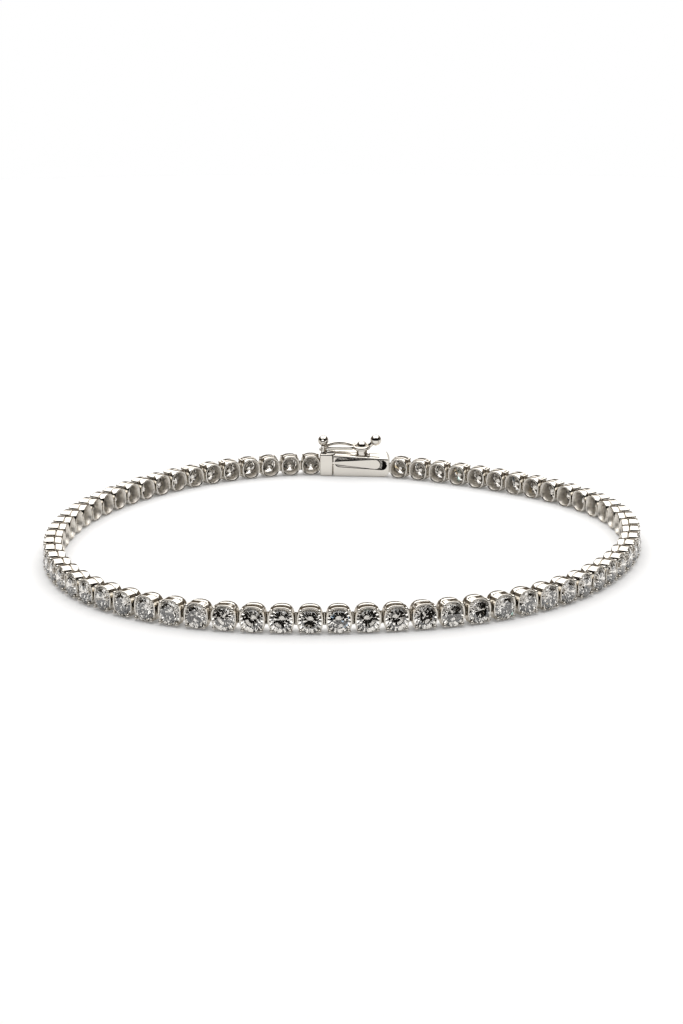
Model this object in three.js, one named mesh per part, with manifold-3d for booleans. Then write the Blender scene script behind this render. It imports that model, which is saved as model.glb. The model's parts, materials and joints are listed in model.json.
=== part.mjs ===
// A tennis bracelet of small round stones, fastened and lying on its edge on a flat surface.
// Millimetres, +Z up. The wrist goes through the loop along Z, the clasp is at +Y.
// The stones' settings are far under 4 mm, so they are one solid along the bracelet's route.
import * as THREE from 'three';
import { mergeVertices } from 'three/addons/utils/BufferGeometryUtils.js';
import Module from 'manifold-3d';

const wasm = await Module();
wasm.setup();

// ---- Driving dimensions -------------------------------------------------------------------

// The row of settings: one stone in each, linked at an even pitch.
const LINK_PITCH = 2.445;
const LINK_COUNT = 69;
const LINKS_LEFT_OF_FRONT = 35;
const LINKS_RIGHT_OF_FRONT = LINK_COUNT - 1 - LINKS_LEFT_OF_FRONT;
const LINK_HEIGHT = 2.35;
const LINK_DEPTH = 1.9;
const LINK_EDGE = 0.35;
const FRONT_LINK_SHIFT = 0.11;
const LINK_STEPS = 36;

// The loop that the links lie in: a circle with a slow wave or two, as a loose chain takes.
const LOOP_RADIUS = 27.914;
const LOOP_WAVES = [
  { perTurn: 2, cosine: 0.0145, sine: 0.0089 },
  { perTurn: 3, cosine: 0.0223, sine: -0.0155 },
  { perTurn: 4, cosine: 0.0, sine: 0.0098 },
  { perTurn: 5, cosine: 0.0, sine: 0.0083 },
];

// The clasp, in its own frame: X along it, Y away from the wrist, Z up, Z = 0 on the surface.
const CLASP_LENGTH = 7.9;
const CLASP_OUTWARD = 0.15;
const CLASP_TURN_DEG = -5;
const CLASP_NEAR_FACE = -0.95;
const CLASP_FAR_FACE = 1.05;
const CLASP_HEIGHT = 2.6;
const CLASP_EDGE = 0.16;
const SEAM = 0.12;
const CHAIN_GAP = 0.3;

// Tongue: a solid head that closes the box's mouth, and a folded leaf that lies in the box.
const HEAD_LENGTH = 1.5;
const LEAF_THICKNESS = 0.28;
const LEAF_LENGTH = 5.35;
const LEAF_CLEARANCE = 0.12;
const LEAF_ROOT = 0.5;

// Box: rounded at its closed end, a little lower there, with a long slot facing the wrist.
const BOX_END_HEIGHT = 2.3;
const BOX_END_ROUND = 0.75;
const BOX_TOP_DROP = 0.03;
const SLOT_HEIGHT = 1.15;
const SLOT_TILT_DEG = -3;
const SLOT_CENTRE_HEIGHT = 1.53;
const SLOT_END_WALL = 0.2;
const SLOT_MOUTH_WALL = 0.1;
const CAVITY_BACK = 0.65;
const NEAR_WALL = 0.4;
const MOUTH_CUT = 1.5;
const CUT_PAST_FACE = 1;

// Snap stud on the box's top, and the hinge post on the tongue's head.
const STUD_X = 0.8;
const STUD_DOME_RADIUS = 0.56;
const STUD_DOME_HEIGHT = 3.54;
const STUD_NECK_RADIUS = 0.28;
const STUD_ROOT = 0.6;
const HINGE_X = -3.6;
const HINGE_HEIGHT = 3.95;
const PIN_RADIUS = 0.2;
const PIN_CLEARANCE = 0.08;
const PIN_HEAD_RADIUS = 0.36;
const PIN_HEAD_LENGTH = 0.18;
const LUG_THICKNESS = 0.32;
const LUG_WIDTH = 0.7;
const LUG_ROOT = 0.5;
const LUG_EDGE = 0.05;
const PIN_IN_HEAD = 0.02;
const PIN_UNDER_LUG = 0.05;

// Safety latch: a figure of eight in wire, a round knuckle at one end, a grip ball at the other.
const WIRE_RADIUS = 0.19;
const LATCH_HEIGHT = 3.36;
const LATCH_ARCH = 0.22;
const KNUCKLE_RADIUS = 0.6;
const LONG_LOBE = { from: -3.35, to: -0.05, halfWidth: 0.8 };
const STUD_LOBE = { from: -0.05, to: 1.6, halfWidth: 0.84 };
const GRIP_X = 2.4;
const GRIP_HEIGHT = 4.1;
const GRIP_RADIUS = 0.63;
const KNUCKLE_FOOT_SHIFT = 0.2;
const KNUCKLE_FOOT_DROP = 0.42;
const BORE_PAST_KNUCKLE = 1;

// ---- Finishes -----------------------------------------------------------------------------

const whiteGold = () =>
  new THREE.MeshStandardMaterial({ color: 0xcfccc6, roughness: 0.14, metalness: 1.0 });
const stoneRow = () =>
  new THREE.MeshStandardMaterial({ color: 0xd8d8d8, roughness: 0.08, metalness: 0.6 });

// ---- The loop -----------------------------------------------------------------------------

class BraceletLoop extends THREE.Curve {
  constructor() {
    super();
    this.arcLengthDivisions = 1440;
  }

  // Runs once round from the front, to the right first.
  getPoint(t, target = new THREE.Vector3()) {
    const angle = (t - 0.25) * 2 * Math.PI;
    let radius = LOOP_RADIUS;
    for (const wave of LOOP_WAVES) {
      const phase = wave.perTurn * angle;
      radius += LOOP_RADIUS * (wave.cosine * Math.cos(phase) + wave.sine * Math.sin(phase));
    }
    return target.set(radius * Math.cos(angle), radius * Math.sin(angle), 0);
  }

  // The point at a distance along the loop, counted from the front, to the right positive.
  atDistance(distance) {
    const length = this.getLength();
    return this.getPointAt(((distance + length) % length) / length);
  }
}

class ChainRoute extends THREE.Curve {
  constructor(loop, start, end, height) {
    super();
    this.loop = loop;
    this.start = start;
    this.end = end;
    this.height = height;
  }

  getPoint(t) {
    const point = this.loop.atDistance(this.start + (this.end - this.start) * t);
    return point.setZ(this.height);
  }
}

// ---- Solids -------------------------------------------------------------------------------

const toSolid = (geometry) => {
  const bare = geometry.clone();
  bare.deleteAttribute('normal');
  bare.deleteAttribute('uv');
  const merged = mergeVertices(bare, 1e-5);
  return new wasm.Manifold(
    new wasm.Mesh({
      numProp: 3,
      vertProperties: new Float32Array(merged.attributes.position.array),
      triVerts: new Uint32Array(merged.index.array),
    }),
  );
};

const toGeometry = (solid) => {
  const mesh = solid.getMesh();
  const geometry = new THREE.BufferGeometry();
  geometry.setAttribute('position', new THREE.BufferAttribute(mesh.vertProperties, 3));
  geometry.setIndex(new THREE.BufferAttribute(mesh.triVerts, 1));
  geometry.computeVertexNormals();
  return geometry;
};

const joined = (...geometries) => geometries.map(toSolid).reduce((a, b) => a.add(b));

const pieceOf = (name, geometry, material) => {
  const piece = new THREE.Mesh(geometry, material);
  piece.name = name;
  return piece;
};

// A block with all its long edges cut at 45 degrees: section in Y and Z, run along X.
const edgedBar = (fromX, toX, fromY, toY, fromZ, toZ, edge) => {
  const section = new THREE.Shape([
    new THREE.Vector2(fromY + edge, fromZ),
    new THREE.Vector2(toY - edge, fromZ),
    new THREE.Vector2(toY, fromZ + edge),
    new THREE.Vector2(toY, toZ - edge),
    new THREE.Vector2(toY - edge, toZ),
    new THREE.Vector2(fromY + edge, toZ),
    new THREE.Vector2(fromY, toZ - edge),
    new THREE.Vector2(fromY, fromZ + edge),
  ]);
  const bar = new THREE.ExtrudeGeometry(section, { depth: toX - fromX, bevelEnabled: false });
  const toBarAxes = new THREE.Matrix4().makeBasis(
    new THREE.Vector3(0, 1, 0),
    new THREE.Vector3(0, 0, 1),
    new THREE.Vector3(1, 0, 0),
  );
  return bar.applyMatrix4(toBarAxes).translate(fromX, 0, 0);
};

// A cylinder along Y between two places.
const roundAlongY = (radius, x, fromY, toY, z, sides = 20) => {
  const bar = new THREE.CylinderGeometry(radius, radius, toY - fromY, sides);
  return bar.translate(x, (fromY + toY) / 2, z);
};

const roundAlongZ = (radius, x, y, fromZ, toZ, sides = 20) => {
  const bar = new THREE.CylinderGeometry(radius, radius, toZ - fromZ, sides);
  return bar.rotateX(Math.PI / 2).translate(x, y, (fromZ + toZ) / 2);
};

const ball = (radius, x, y, z) =>
  new THREE.SphereGeometry(radius, 20, 12).rotateX(Math.PI / 2).translate(x, y, z);

// An outline in X and Z with round ends, run along Y.
const slotAlongY = (fromX, toX, height, fromY, toY) => {
  const radius = height / 2;
  const outline = new THREE.Shape();
  outline.absarc(toX - radius, 0, radius, -Math.PI / 2, Math.PI / 2, false);
  outline.absarc(fromX + radius, 0, radius, Math.PI / 2, (3 * Math.PI) / 2, false);
  const run = { depth: toY - fromY, bevelEnabled: false, curveSegments: 10 };
  return new THREE.ExtrudeGeometry(outline, run).rotateX(Math.PI / 2).translate(0, toY, 0);
};

// A wire round a closed oval that lies level, arched up in the middle of its length.
const wireOval = (lobe, arch, steps = 32, sides = 8) => {
  const centreX = (lobe.from + lobe.to) / 2;
  const halfLength = (lobe.to - lobe.from) / 2;
  const positions = [];
  const indices = [];
  for (let step = 0; step < steps; step += 1) {
    const turn = (step / steps) * 2 * Math.PI;
    const across = new THREE.Vector2(
      Math.cos(turn) / halfLength,
      Math.sin(turn) / lobe.halfWidth,
    ).normalize();
    const height = LATCH_HEIGHT + arch * Math.sin(turn) ** 2;
    for (let side = 0; side < sides; side += 1) {
      const roll = (side / sides) * 2 * Math.PI;
      const out = WIRE_RADIUS * Math.cos(roll);
      positions.push(
        centreX + halfLength * Math.cos(turn) + out * across.x,
        lobe.halfWidth * Math.sin(turn) + out * across.y,
        height + WIRE_RADIUS * Math.sin(roll),
      );
      const here = step * sides + side;
      const beside = step * sides + ((side + 1) % sides);
      const ahead = ((step + 1) % steps) * sides + side;
      const aheadBeside = ((step + 1) % steps) * sides + ((side + 1) % sides);
      indices.push(here, ahead, aheadBeside, here, aheadBeside, beside);
    }
  }
  const geometry = new THREE.BufferGeometry();
  geometry.setAttribute('position', new THREE.Float32BufferAttribute(positions, 3));
  geometry.setIndex(indices);
  return geometry;
};

// A short straight wire between two points.
const wireBetween = (from, to, radius = WIRE_RADIUS) => {
  const along = new THREE.Vector3().subVectors(to, from);
  const wire = new THREE.CylinderGeometry(radius, radius, along.length(), 10);
  const turn = new THREE.Quaternion().setFromUnitVectors(
    new THREE.Vector3(0, 1, 0),
    along.clone().normalize(),
  );
  const middle = new THREE.Vector3().addVectors(from, to).multiplyScalar(0.5);
  return wire.applyQuaternion(turn).translate(middle.x, middle.y, middle.z);
};

// ---- Row of settings ----------------------------------------------------------------------

const makeChain = (loop, start, end) => {
  const halfHeight = LINK_HEIGHT / 2;
  const halfDepth = LINK_DEPTH / 2;
  const section = new THREE.Shape([
    new THREE.Vector2(-halfHeight, -halfDepth + LINK_EDGE),
    new THREE.Vector2(-halfHeight + LINK_EDGE, -halfDepth),
    new THREE.Vector2(halfHeight - LINK_EDGE, -halfDepth),
    new THREE.Vector2(halfHeight, -halfDepth + LINK_EDGE),
    new THREE.Vector2(halfHeight, halfDepth - LINK_EDGE),
    new THREE.Vector2(halfHeight - LINK_EDGE, halfDepth),
    new THREE.Vector2(-halfHeight + LINK_EDGE, halfDepth),
    new THREE.Vector2(-halfHeight, halfDepth - LINK_EDGE),
  ]);
  const route = new ChainRoute(loop, start, end, halfHeight);
  const run = { steps: LINK_STEPS, extrudePath: route, bevelEnabled: false };
  return pieceOf('chain', new THREE.ExtrudeGeometry(section, run), stoneRow());
};

// ---- Clasp --------------------------------------------------------------------------------

const CLASP_START = -CLASP_LENGTH / 2;
const CLASP_END = CLASP_LENGTH / 2;
const MOUTH_X = CLASP_START + HEAD_LENGTH + SEAM;

// The slot's and cavity's common outline, tilted with the box's tapering side.
const tiltedSlot = (fromX, toX, height, fromY, toY) => {
  const tilt = THREE.MathUtils.degToRad(SLOT_TILT_DEG);
  const middle = (MOUTH_X + CLASP_END) / 2;
  return slotAlongY(fromX - middle, toX - middle, height, fromY, toY)
    .rotateY(-tilt)
    .translate(middle, 0, SLOT_CENTRE_HEIGHT);
};

const boxOutline = () => {
  const outline = new THREE.Shape();
  outline.moveTo(MOUTH_X, 0);
  outline.lineTo(CLASP_END - BOX_END_ROUND, 0);
  outline.quadraticCurveTo(CLASP_END, 0, CLASP_END, BOX_END_ROUND);
  outline.lineTo(CLASP_END, BOX_END_HEIGHT - BOX_END_ROUND);
  outline.quadraticCurveTo(
    CLASP_END,
    BOX_END_HEIGHT,
    CLASP_END - BOX_END_ROUND,
    BOX_END_HEIGHT + BOX_TOP_DROP,
  );
  outline.lineTo(MOUTH_X, CLASP_HEIGHT);
  return outline;
};

const makeClaspBox = () => {
  const depth = CLASP_FAR_FACE - CLASP_NEAR_FACE;
  const run = {
    depth: depth - 2 * CLASP_EDGE,
    bevelThickness: CLASP_EDGE,
    bevelSize: CLASP_EDGE,
    bevelOffset: -CLASP_EDGE,
    bevelSegments: 1,
    curveSegments: 6,
  };
  const shell = new THREE.ExtrudeGeometry(boxOutline(), run)
    .rotateX(Math.PI / 2)
    .translate(0, CLASP_FAR_FACE - CLASP_EDGE, 0);
  const slotStart = MOUTH_X + SLOT_MOUTH_WALL;
  const slotEnd = CLASP_END - SLOT_END_WALL;
  const slot = tiltedSlot(slotStart, slotEnd, SLOT_HEIGHT, CLASP_NEAR_FACE - CUT_PAST_FACE, CAVITY_BACK);
  const mouthStart = MOUTH_X - MOUTH_CUT;
  const cavityNear = CLASP_NEAR_FACE + NEAR_WALL;
  const mouth = tiltedSlot(mouthStart, slotEnd, SLOT_HEIGHT, cavityNear, CAVITY_BACK);
  const neck = roundAlongZ(STUD_NECK_RADIUS, STUD_X, 0, CLASP_HEIGHT - STUD_ROOT, STUD_DOME_HEIGHT);
  const dome = ball(STUD_DOME_RADIUS, STUD_X, 0, STUD_DOME_HEIGHT);
  const solid = toSolid(shell)
    .subtract(toSolid(slot))
    .subtract(toSolid(mouth))
    .add(toSolid(neck))
    .add(toSolid(dome));
  return pieceOf('clasp_box', toGeometry(solid), whiteGold());
};

const makeClaspTongue = () => {
  const headEnd = CLASP_START + HEAD_LENGTH;
  const head = edgedBar(
    CLASP_START,
    headEnd,
    CLASP_NEAR_FACE,
    CLASP_FAR_FACE,
    0,
    CLASP_HEIGHT,
    CLASP_EDGE,
  );
  const leafHeight = SLOT_HEIGHT - 2 * LEAF_CLEARANCE;
  const leafEnd = headEnd + LEAF_LENGTH;
  const nearLeafBack = CLASP_NEAR_FACE + NEAR_WALL + LEAF_CLEARANCE + LEAF_THICKNESS;
  const farLeafBack = CAVITY_BACK - LEAF_CLEARANCE;
  const nearLeaf = tiltedSlot(
    headEnd - LEAF_ROOT,
    leafEnd,
    leafHeight,
    nearLeafBack - LEAF_THICKNESS,
    nearLeafBack,
  );
  const farLeaf = tiltedSlot(
    headEnd - LEAF_ROOT,
    leafEnd,
    leafHeight,
    farLeafBack - LEAF_THICKNESS,
    farLeafBack,
  );
  const fold = tiltedSlot(
    leafEnd - leafHeight,
    leafEnd,
    leafHeight,
    nearLeafBack - LEAF_THICKNESS,
    farLeafBack,
  );
  const lugNear = CLASP_FAR_FACE - LUG_THICKNESS;
  const lug = edgedBar(
    HINGE_X - LUG_WIDTH / 2,
    HINGE_X + LUG_WIDTH / 2,
    lugNear,
    CLASP_FAR_FACE,
    CLASP_HEIGHT - LUG_ROOT,
    HINGE_HEIGHT,
    LUG_EDGE,
  );
  const lugEye = roundAlongY(LUG_WIDTH / 2, HINGE_X, lugNear, CLASP_FAR_FACE, HINGE_HEIGHT);
  const pinNear = -KNUCKLE_RADIUS - PIN_CLEARANCE;
  const pin = roundAlongY(
    PIN_RADIUS,
    HINGE_X,
    pinNear - PIN_IN_HEAD,
    CLASP_FAR_FACE - PIN_UNDER_LUG,
    HINGE_HEIGHT,
  );
  const pinHead = roundAlongY(
    PIN_HEAD_RADIUS,
    HINGE_X,
    pinNear - PIN_HEAD_LENGTH,
    pinNear,
    HINGE_HEIGHT,
  );
  const solid = joined(head, nearLeaf, farLeaf, fold, lug, lugEye, pin, pinHead);
  return pieceOf('clasp_tongue', toGeometry(solid), whiteGold());
};

// ---- Safety latch -------------------------------------------------------------------------

const makeSafetyLatch = () => {
  const knuckle = ball(KNUCKLE_RADIUS, HINGE_X, 0, HINGE_HEIGHT);
  const bore = roundAlongY(
    PIN_RADIUS + PIN_CLEARANCE,
    HINGE_X,
    -KNUCKLE_RADIUS - BORE_PAST_KNUCKLE,
    KNUCKLE_RADIUS + BORE_PAST_KNUCKLE,
    HINGE_HEIGHT,
  );
  const lobeStart = new THREE.Vector3(LONG_LOBE.from, 0, LATCH_HEIGHT);
  const knuckleFoot = new THREE.Vector3(
    HINGE_X + KNUCKLE_FOOT_SHIFT,
    0,
    HINGE_HEIGHT - KNUCKLE_FOOT_DROP,
  );
  const stemFoot = new THREE.Vector3(STUD_LOBE.to, 0, LATCH_HEIGHT);
  const gripCentre = new THREE.Vector3(GRIP_X, 0, GRIP_HEIGHT);
  const eight = joined(
    knuckle,
    wireBetween(knuckleFoot, lobeStart),
    wireOval(LONG_LOBE, LATCH_ARCH),
    wireOval(STUD_LOBE, 0),
    wireBetween(stemFoot, gripCentre),
    ball(GRIP_RADIUS, GRIP_X, 0, GRIP_HEIGHT),
  );
  return pieceOf('safety_latch', toGeometry(eight.subtract(toSolid(bore))), whiteGold());
};

// ---- Assembly -----------------------------------------------------------------------------

const loop = new BraceletLoop();
const lastLeft = FRONT_LINK_SHIFT - LINKS_LEFT_OF_FRONT * LINK_PITCH;
const lastRight = FRONT_LINK_SHIFT + LINKS_RIGHT_OF_FRONT * LINK_PITCH;
const leftLink = loop.atDistance(lastLeft);
const rightLink = loop.atDistance(lastRight);

const clasp = new THREE.Group();
clasp.add(makeClaspBox(), makeClaspTongue(), makeSafetyLatch());
const chord = new THREE.Vector3().subVectors(rightLink, leftLink);
clasp.rotation.z = THREE.MathUtils.degToRad(CLASP_TURN_DEG);
clasp.position.addVectors(leftLink, rightLink).multiplyScalar(0.5);
clasp.position.add(new THREE.Vector3(-chord.y, chord.x, 0).setLength(CLASP_OUTWARD));

// The row's two ends stop just short of the clasp's.
const pastLastLink = chord.length() / 2 - CLASP_LENGTH / 2 - CHAIN_GAP;
const chain = makeChain(loop, lastLeft - pastLastLink, lastRight + pastLastLink);

const bracelet = new THREE.Group();
bracelet.add(chain, clasp);

// The origin is under the middle of the whole bracelet, on the surface that it lies on.
bracelet.updateMatrixWorld(true);
const extent = new THREE.Box3().setFromObject(bracelet, true);
const middle = extent.getCenter(new THREE.Vector3());
bracelet.position.set(-middle.x, -middle.y, -extent.min.z);

export default bracelet;
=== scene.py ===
"""The looks of a tennis bracelet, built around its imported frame.

The row of settings, its stones and its connectors are modelled link by link along the frame's
route, and the clasp's pieces are modelled over the frame's plain ones. Sizes of the pieces are in
millimetres, and the meshes are in metres.
"""

import json
import logging
import math
import random
from dataclasses import dataclass, field
from enum import Enum
from typing import Any, Iterable, Sequence

import bmesh
import bpy
from bmesh.types import BMEdge, BMesh, BMVert
from bpy.types import Material, Node, Object
from mathutils import Matrix, Vector


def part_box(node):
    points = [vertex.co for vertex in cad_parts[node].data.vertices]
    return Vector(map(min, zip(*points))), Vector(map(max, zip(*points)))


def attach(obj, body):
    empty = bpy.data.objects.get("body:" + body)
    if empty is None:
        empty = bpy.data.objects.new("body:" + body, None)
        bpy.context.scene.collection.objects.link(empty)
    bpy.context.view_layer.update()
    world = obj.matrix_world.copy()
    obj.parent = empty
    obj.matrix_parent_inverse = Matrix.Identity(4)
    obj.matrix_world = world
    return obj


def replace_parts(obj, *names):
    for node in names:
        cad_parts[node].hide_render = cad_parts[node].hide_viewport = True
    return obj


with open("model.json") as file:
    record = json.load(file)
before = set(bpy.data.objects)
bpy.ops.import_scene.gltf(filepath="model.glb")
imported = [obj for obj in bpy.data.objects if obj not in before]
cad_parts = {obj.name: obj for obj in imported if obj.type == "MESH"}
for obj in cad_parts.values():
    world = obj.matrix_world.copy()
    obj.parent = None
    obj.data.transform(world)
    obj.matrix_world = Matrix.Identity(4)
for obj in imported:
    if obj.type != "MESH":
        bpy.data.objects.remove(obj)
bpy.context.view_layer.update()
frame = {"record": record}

MM = 0.001
LOG = logging.getLogger("bracelet")

Point = tuple[float, float]
Triple = tuple[float, float, float]


# ---- Shared helpers ------------------------------------------------------------------------


class Shading(Enum):
    """How a piece's faces meet: ground flat, or polished round up to an angle."""

    FACETED = 0.0
    POLISHED = 38.0


class Cut(Enum):
    """What a tool takes off a solid: its own shape, or all that lies outside it."""

    AWAY = "DIFFERENCE"
    WITHIN = "INTERSECT"


def soften(bm: BMesh, shading: Shading) -> None:
    """Sets smooth faces and keeps the edges that are sharper than the shading's angle.

    Args:
        bm: The mesh to set.
        shading: How the faces meet.
    """
    limit = math.radians(shading.value)
    for face in bm.faces:
        face.smooth = shading is not Shading.FACETED
    for edge in bm.edges:
        edge.smooth = edge.is_manifold and edge.calc_face_angle(0.0) < limit


def new_object(name: str, bm: BMesh) -> Object:
    """Turns a bmesh into a linked object with its place in its mesh, and frees the bmesh.

    Args:
        name: The object's name.
        bm: The finished mesh, in millimetres.

    Returns:
        The new object at the origin.
    """
    bmesh.ops.scale(bm, vec=(MM, MM, MM), verts=bm.verts)
    mesh = bpy.data.meshes.new(name)
    bm.to_mesh(mesh)
    bm.free()
    piece = bpy.data.objects.new(name, mesh)
    bpy.context.scene.collection.objects.link(piece)
    return piece


def apply_modifiers(piece: Object) -> None:
    """Replaces an object's mesh by the one that its modifiers make, and drops them.

    Args:
        piece: The object to finish.
    """
    graph = bpy.context.evaluated_depsgraph_get()
    graph.update()
    made = bpy.data.meshes.new_from_object(piece.evaluated_get(graph))
    old = piece.data
    piece.modifiers.clear()
    piece.data = made
    made.name = piece.name
    bpy.data.meshes.remove(old)


def combine(piece: Object, tools: Sequence[Object], cut: Cut) -> None:
    """Cuts a piece with solids, one after another, and removes the tools.

    Args:
        piece: The solid that is changed.
        tools: The solids that cut it.
        cut: What each of them takes off.
    """
    for tool in tools:
        step = piece.modifiers.new("combine", "BOOLEAN")
        step.operation = cut.value
        step.solver = "EXACT"
        step.object = tool
    apply_modifiers(piece)
    for tool in tools:
        bpy.data.objects.remove(tool)


def polish(piece: Object, width: float, segments: int = 3) -> None:
    """Rounds a piece's sharp edges.

    Args:
        piece: The solid to finish.
        width: The rounding's width, in millimetres.
        segments: How many faces the rounding has.
    """
    rounding = piece.modifiers.new("rounding", "BEVEL")
    rounding.width = width * MM
    rounding.segments = segments
    rounding.limit_method = "ANGLE"
    rounding.angle_limit = math.radians(35)
    rounding.use_clamp_overlap = True
    apply_modifiers(piece)


def weight_normals(piece: Object) -> None:
    """Lets a piece's large flat faces shade flat up to their rounded edges.

    Args:
        piece: The piece to finish.
    """
    weighted = piece.modifiers.new("weighted", "WEIGHTED_NORMAL")
    weighted.keep_sharp = True
    apply_modifiers(piece)


def extruded_outline(outline: Sequence[Point], near: float, far: float) -> BMesh:
    """Makes a solid from an outline in X and Z, run along Y.

    Args:
        outline: The corners, in order.
        near: The solid's lowest Y.
        far: The solid's highest Y.

    Returns:
        The solid, its faces outwards.
    """
    bm = bmesh.new()
    corners = [bm.verts.new((x, near, z)) for x, z in outline]
    face = bm.faces.new(corners)
    grown = bmesh.ops.extrude_face_region(bm, geom=[face])["geom"]
    moved = [item for item in grown if isinstance(item, BMVert)]
    bmesh.ops.translate(bm, vec=(0, far - near, 0), verts=moved)
    bmesh.ops.recalc_face_normals(bm, faces=bm.faces)
    return bm


def append_copy(target: BMesh, source: bpy.types.Mesh, place: Matrix) -> None:
    """Adds a placed copy of a mesh to a bmesh.

    Args:
        target: The bmesh that grows.
        source: The mesh to copy.
        place: Where the copy goes.
    """
    before = len(target.verts)
    target.from_mesh(source)
    target.verts.ensure_lookup_table()
    bmesh.ops.transform(target, matrix=place, verts=target.verts[before:])


def take_in(target: BMesh, piece: Object) -> None:
    """Moves a work piece's shape into a bmesh in millimetres, and removes the work piece.

    Args:
        target: The bmesh that grows.
        piece: The work piece, in metres.
    """
    append_copy(target, piece.data, Matrix.Scale(1 / MM, 4))
    bpy.data.objects.remove(piece)


def repeated(source: BMesh, places: Iterable[Matrix]) -> BMesh:
    """Makes one bmesh with a copy of another at each place, and frees the other.

    Args:
        source: The shape to copy.
        places: Where the copies go.

    Returns:
        The copies together.
    """
    template = bpy.data.meshes.new("template")
    source.to_mesh(template)
    source.free()
    joined = bmesh.new()
    for place in places:
        append_copy(joined, template, place)
    bpy.data.meshes.remove(template)
    return joined


def rod(bm: BMesh, start: Vector, end: Vector, radius: float, sides: int = 10) -> None:
    """Adds a straight round rod with flat ends to a bmesh.

    Args:
        bm: The bmesh that grows.
        start: The middle of one end.
        end: The middle of the other.
        radius: The rod's radius.
        sides: The faces round it.
    """
    along = end - start
    turn = Vector((0, 0, 1)).rotation_difference(along).to_matrix().to_4x4()
    place = Matrix.Translation((start + end) / 2) @ turn
    bmesh.ops.create_cone(
        bm,
        cap_ends=True,
        segments=sides,
        radius1=radius,
        radius2=radius,
        depth=along.length,
        matrix=place,
    )


def ball(bm: BMesh, middle: Vector, radius: float, segments: int = 32) -> None:
    """Adds a ball to a bmesh.

    Args:
        bm: The bmesh that grows.
        middle: The ball's middle.
        radius: Its radius.
        segments: The faces round it.
    """
    bmesh.ops.create_uvsphere(
        bm,
        u_segments=segments,
        v_segments=segments // 2,
        radius=radius,
        matrix=Matrix.Translation(middle),
    )


def arc(middle: Point, reach: Point, first: float, sweep: float, steps: int) -> list[Point]:
    """The points of an upright oval's arc, both of its ends among them.

    Args:
        middle: The oval's middle.
        reach: Half its width and half its height.
        first: The bearing of the arc's start, in degrees.
        sweep: How far it turns from there, in degrees.
        steps: The steps along it.

    Returns:
        The points in order.
    """
    angles = [math.radians(first + sweep * step / steps) for step in range(steps + 1)]
    return [
        (middle[0] + reach[0] * math.cos(angle), middle[1] + reach[1] * math.sin(angle))
        for angle in angles
    ]


def rectangle(left: float, right: float, low: float, high: float) -> list[Point]:
    """The corners of a rectangle, from its lower left one."""
    return [(left, low), (right, low), (right, high), (left, high)]


def dress(piece: Object, material: Material, body: str) -> None:
    """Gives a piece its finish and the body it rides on.

    Args:
        piece: The finished piece.
        material: Its only material.
        body: The frame's body that it moves with.
    """
    piece.data.materials.clear()
    piece.data.materials.append(material)
    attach(piece, body)
    LOG.info("%s: %d faces, rides on %s", piece.name, len(piece.data.polygons), body)


# ---- Finishes ------------------------------------------------------------------------------


def set_sockets(node: Node, values: dict[str, Any]) -> None:
    """Sets a node's sockets, a colour given without its alpha.

    Args:
        node: The node to set.
        values: The sockets' names and their values.
    """
    for name, value in values.items():
        node.inputs[name].default_value = (*value, 1.0) if isinstance(value, tuple) else value


def new_finish(name: str, values: dict[str, Any]) -> Material:
    """Makes a material and sets its surface's sockets.

    Args:
        name: The material's name.
        values: The surface's sockets and their values.

    Returns:
        The material, ready for its patterns.
    """
    material = bpy.data.materials.new(name)
    material.use_nodes = True
    set_sockets(material.node_tree.nodes["Principled BSDF"], values)
    return material


def grain_noise(material: Material, size: float, detail: float = 2.0) -> Node:
    """Adds a fine noise that keeps its place on the piece.

    Args:
        material: The material that gets it.
        size: The noise's size, in millimetres.
        detail: How many finer layers it has.

    Returns:
        The noise node.
    """
    place = material.node_tree.nodes.new("ShaderNodeTexCoord")
    noise = material.node_tree.nodes.new("ShaderNodeTexNoise")
    set_sockets(noise, {"Scale": 1.0 / (size * MM), "Detail": detail})
    material.node_tree.links.new(place.outputs["Object"], noise.inputs["Vector"])
    return noise


@dataclass(frozen=True)
class WhiteGold:
    """Rhodium-plated white gold, with faint polishing marks.

    Args:
        name: The material's name.
        colour: What the metal mirrors head on.
        edge_tint: How much of that is left near a rounded edge.
        roughness: The least and greatest roughness of the polish.
        mark_size: The width of the polishing marks, in millimetres.
        mark_depth: The marks' depth, in millimetres.
        mark_strength: How much of that depth is seen.
        mark_share: The noise's range that the roughness follows.
    """

    name: str = "white_gold"
    colour: Triple = (0.665, 0.635, 0.585)
    edge_tint: Triple = (0.62, 0.59, 0.55)
    roughness: Point = (0.05, 0.17)
    mark_size: float = 0.35
    mark_depth: float = 0.004
    mark_strength: float = 0.12
    mark_share: Point = (0.35, 0.7)

    def build(self) -> Material:
        """Makes the material.

        Returns:
            The material.
        """
        material = new_finish(self.name, {
            "Base Color": self.colour, "Metallic": 1.0, "Specular Tint": self.edge_tint,
        })
        nodes, links = material.node_tree.nodes, material.node_tree.links
        surface = nodes["Principled BSDF"]
        marks = grain_noise(material, self.mark_size, 3.0)
        spread = nodes.new("ShaderNodeMapRange")
        set_sockets(spread, {
            "From Min": self.mark_share[0],
            "From Max": self.mark_share[1],
            "To Min": self.roughness[0],
            "To Max": self.roughness[1],
        })
        bump = nodes.new("ShaderNodeBump")
        set_sockets(bump, {"Strength": self.mark_strength, "Distance": self.mark_depth * MM})
        links.new(marks.outputs["Fac"], spread.inputs["Value"])
        links.new(spread.outputs["Result"], surface.inputs["Roughness"])
        links.new(marks.outputs["Fac"], bump.inputs["Height"])
        links.new(bump.outputs["Normal"], surface.inputs["Normal"])
        return material


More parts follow.
